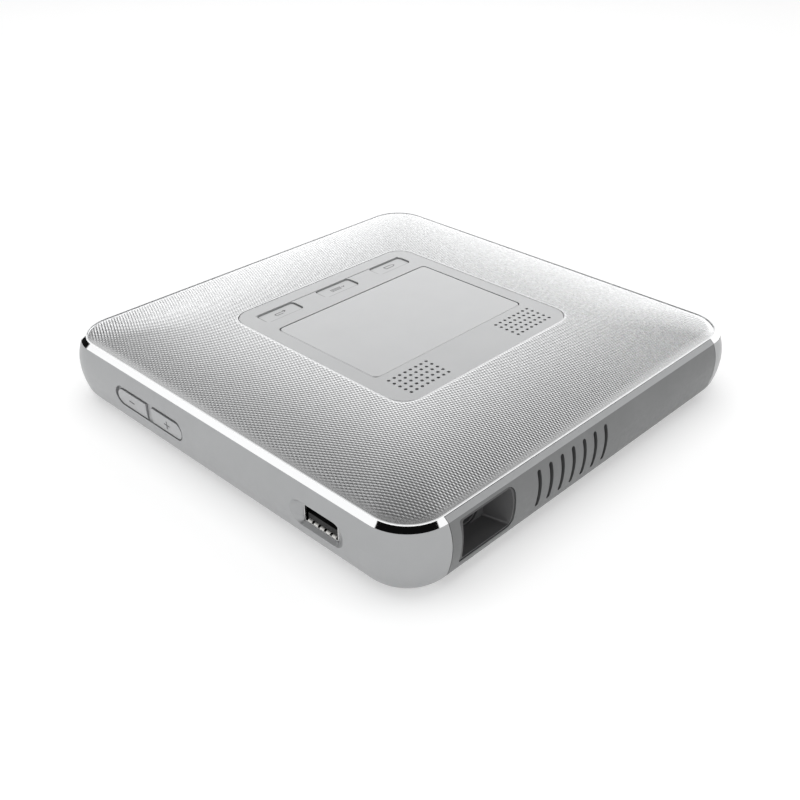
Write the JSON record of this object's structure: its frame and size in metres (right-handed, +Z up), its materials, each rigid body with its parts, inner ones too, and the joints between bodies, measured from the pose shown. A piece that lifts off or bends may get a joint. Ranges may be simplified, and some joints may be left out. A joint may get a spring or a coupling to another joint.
{
  "type": "palm projector",
  "caption": "Flat square palm projector with bulged silver sides, a domed knurled top, a recessed touchpad plate with keys and sound holes, and a lens in a window at the front corner.",
  "frame": {"origin": "middle of the footprint, on the plane that the feet stand on", "axes": "+Z up; -Y towards the face with the lens window and vents; +X to the right seen from that face, so the lens is at the -X end and the volume keys are on the -X face"},
  "size_m": [0.1562, 0.1562, 0.0264],
  "materials": {
    "case_silver": "satin silver paint on a moulded case",
    "front_grey": "satin grey, darker than the case",
    "bevel_chrome": "polished plating",
    "top_pearl": "pearl silver, knurled with fine staggered bumps",
    "plate_silver": "satin light silver",
    "pad_silver": "smooth satin",
    "key_silver": "satin, printed icons",
    "side_key": "satin silver, printed signs",
    "hood_black": "matt black",
    "base_dark": "fine moulded grain, near black",
    "inner_black": "moulded",
    "foot_rubber": "soft, matt",
    "screw_steel": "dark zinc plating",
    "socket_steel": "bright tinned sheet",
    "rod_steel": "ground",
    "insert_brass": "turned",
    "pipe_copper": "copper tube, dull",
    "cast_aluminium": "die cast",
    "fin_aluminium": "extruded",
    "board_green": "circuit board, green resist",
    "battery_wrap": "shrink film over cells",
    "lens_glass": "coated",
    "tongue_white": "moulded, with contact strips",
    "speaker_mesh": "fine black mesh"
  },
  "bodies": {
    "case": {"body_shell": "case_silver", "bevel_ring": "bevel_chrome", "front_panel": "front_grey", "top_cover": "top_pearl", "control_panel": "plate_silver", "touchpad": "pad_silver", "bottom_cover": "base_dark", "rubber_feet": "foot_rubber", "tripod_insert": "insert_brass", "case_screws": "screw_steel", "panel_screws": "screw_steel", "board_screws": "screw_steel", "key_board": "board_green", "touch_board": "board_green", "volume_board": "board_green", "power_board": "board_green", "main_board": "board_green", "usb_board": "board_green", "mirror_chip_board": "board_green", "wireless_antenna": "inner_black", "key_domes": "rod_steel", "volume_domes": "rod_steel", "power_dome": "rod_steel", "speaker_meshes": "speaker_mesh", "speaker_left": "inner_black", "speaker_right": "inner_black", "lens_hood": "hood_black", "lens_housing": "inner_black", "guide_rod": "rod_steel", "focus_motor": "screw_steel", "optical_engine": "cast_aluminium", "led_modules": "cast_aluminium", "heat_sink": "fin_aluminium", "heat_pipe": "pipe_copper", "fan_housing": "inner_black", "fan_cover": "screw_steel", "shield_can": "socket_steel", "battery_pack": "battery_wrap", "usb_socket": "socket_steel", "usb_tongue": "tongue_white", "hdmi_socket": "socket_steel", "hdmi_tongue": "inner_black", "dc_jack": "inner_black", "dc_jack_pin": "rod_steel", "audio_jack": "inner_black"},
    "key_back": {"key_back": "key_silver"},
    "key_menu": {"key_menu": "key_silver"},
    "key_home": {"key_home": "key_silver"},
    "volume_down_key": {"volume_down_key": "side_key"},
    "volume_up_key": {"volume_up_key": "side_key"},
    "power_key": {"power_key": "side_key"},
    "fan_rotor": {"fan_rotor": "inner_black"},
    "lens_carriage": {"lens_barrel": "hood_black", "front_lens": "lens_glass", "rear_lens": "lens_glass"},
    "focus_screw": {"focus_screw": "rod_steel"}
  },
  "joints": [
    {"name": "key_back_press", "type": "slide", "parent": "case", "child": "key_back", "axis": [0, 0, -1], "range_m": [0, 0.0004], "stiffness_N_per_m": 800, "springref_m": -0.0005},
    {"name": "key_menu_press", "type": "slide", "parent": "case", "child": "key_menu", "axis": [0, 0, -1], "range_m": [0, 0.0004], "stiffness_N_per_m": 800, "springref_m": -0.0005},
    {"name": "key_home_press", "type": "slide", "parent": "case", "child": "key_home", "axis": [0, 0, -1], "range_m": [0, 0.0004], "stiffness_N_per_m": 800, "springref_m": -0.0005},
    {"name": "volume_down_key_press", "type": "slide", "parent": "case", "child": "volume_down_key", "axis": [1, 0, 0], "range_m": [0, 0.0004], "stiffness_N_per_m": 800, "springref_m": -0.0005},
    {"name": "volume_up_key_press", "type": "slide", "parent": "case", "child": "volume_up_key", "axis": [1, 0, 0], "range_m": [0, 0.0004], "stiffness_N_per_m": 800, "springref_m": -0.0005},
    {"name": "power_key_press", "type": "slide", "parent": "case", "child": "power_key", "axis": [-1, 0, 0], "range_m": [0, 0.0004], "stiffness_N_per_m": 800, "springref_m": -0.0005},
    {"name": "fan_spin", "type": "hinge", "parent": "case", "child": "fan_rotor", "pos_m": [-0.013, -0.038, 0.008], "axis": [0, 0, 1], "continuous": true},
    {"name": "focus_screw_turn", "type": "hinge", "parent": "case", "child": "focus_screw", "pos_m": [-0.03705, -0.055, 0.0132], "axis": [0, -1, 0], "range_deg": [-720, 720]},
    {"name": "lens_focus", "type": "slide", "parent": "case", "child": "lens_carriage", "axis": [0, -1, 0], "range_m": [-0.001, 0.001]}
  ],
  "couplings": [
    {"joint": "focus_screw_turn", "follows": "lens_focus", "rad_per_m": 12566}
  ]
}
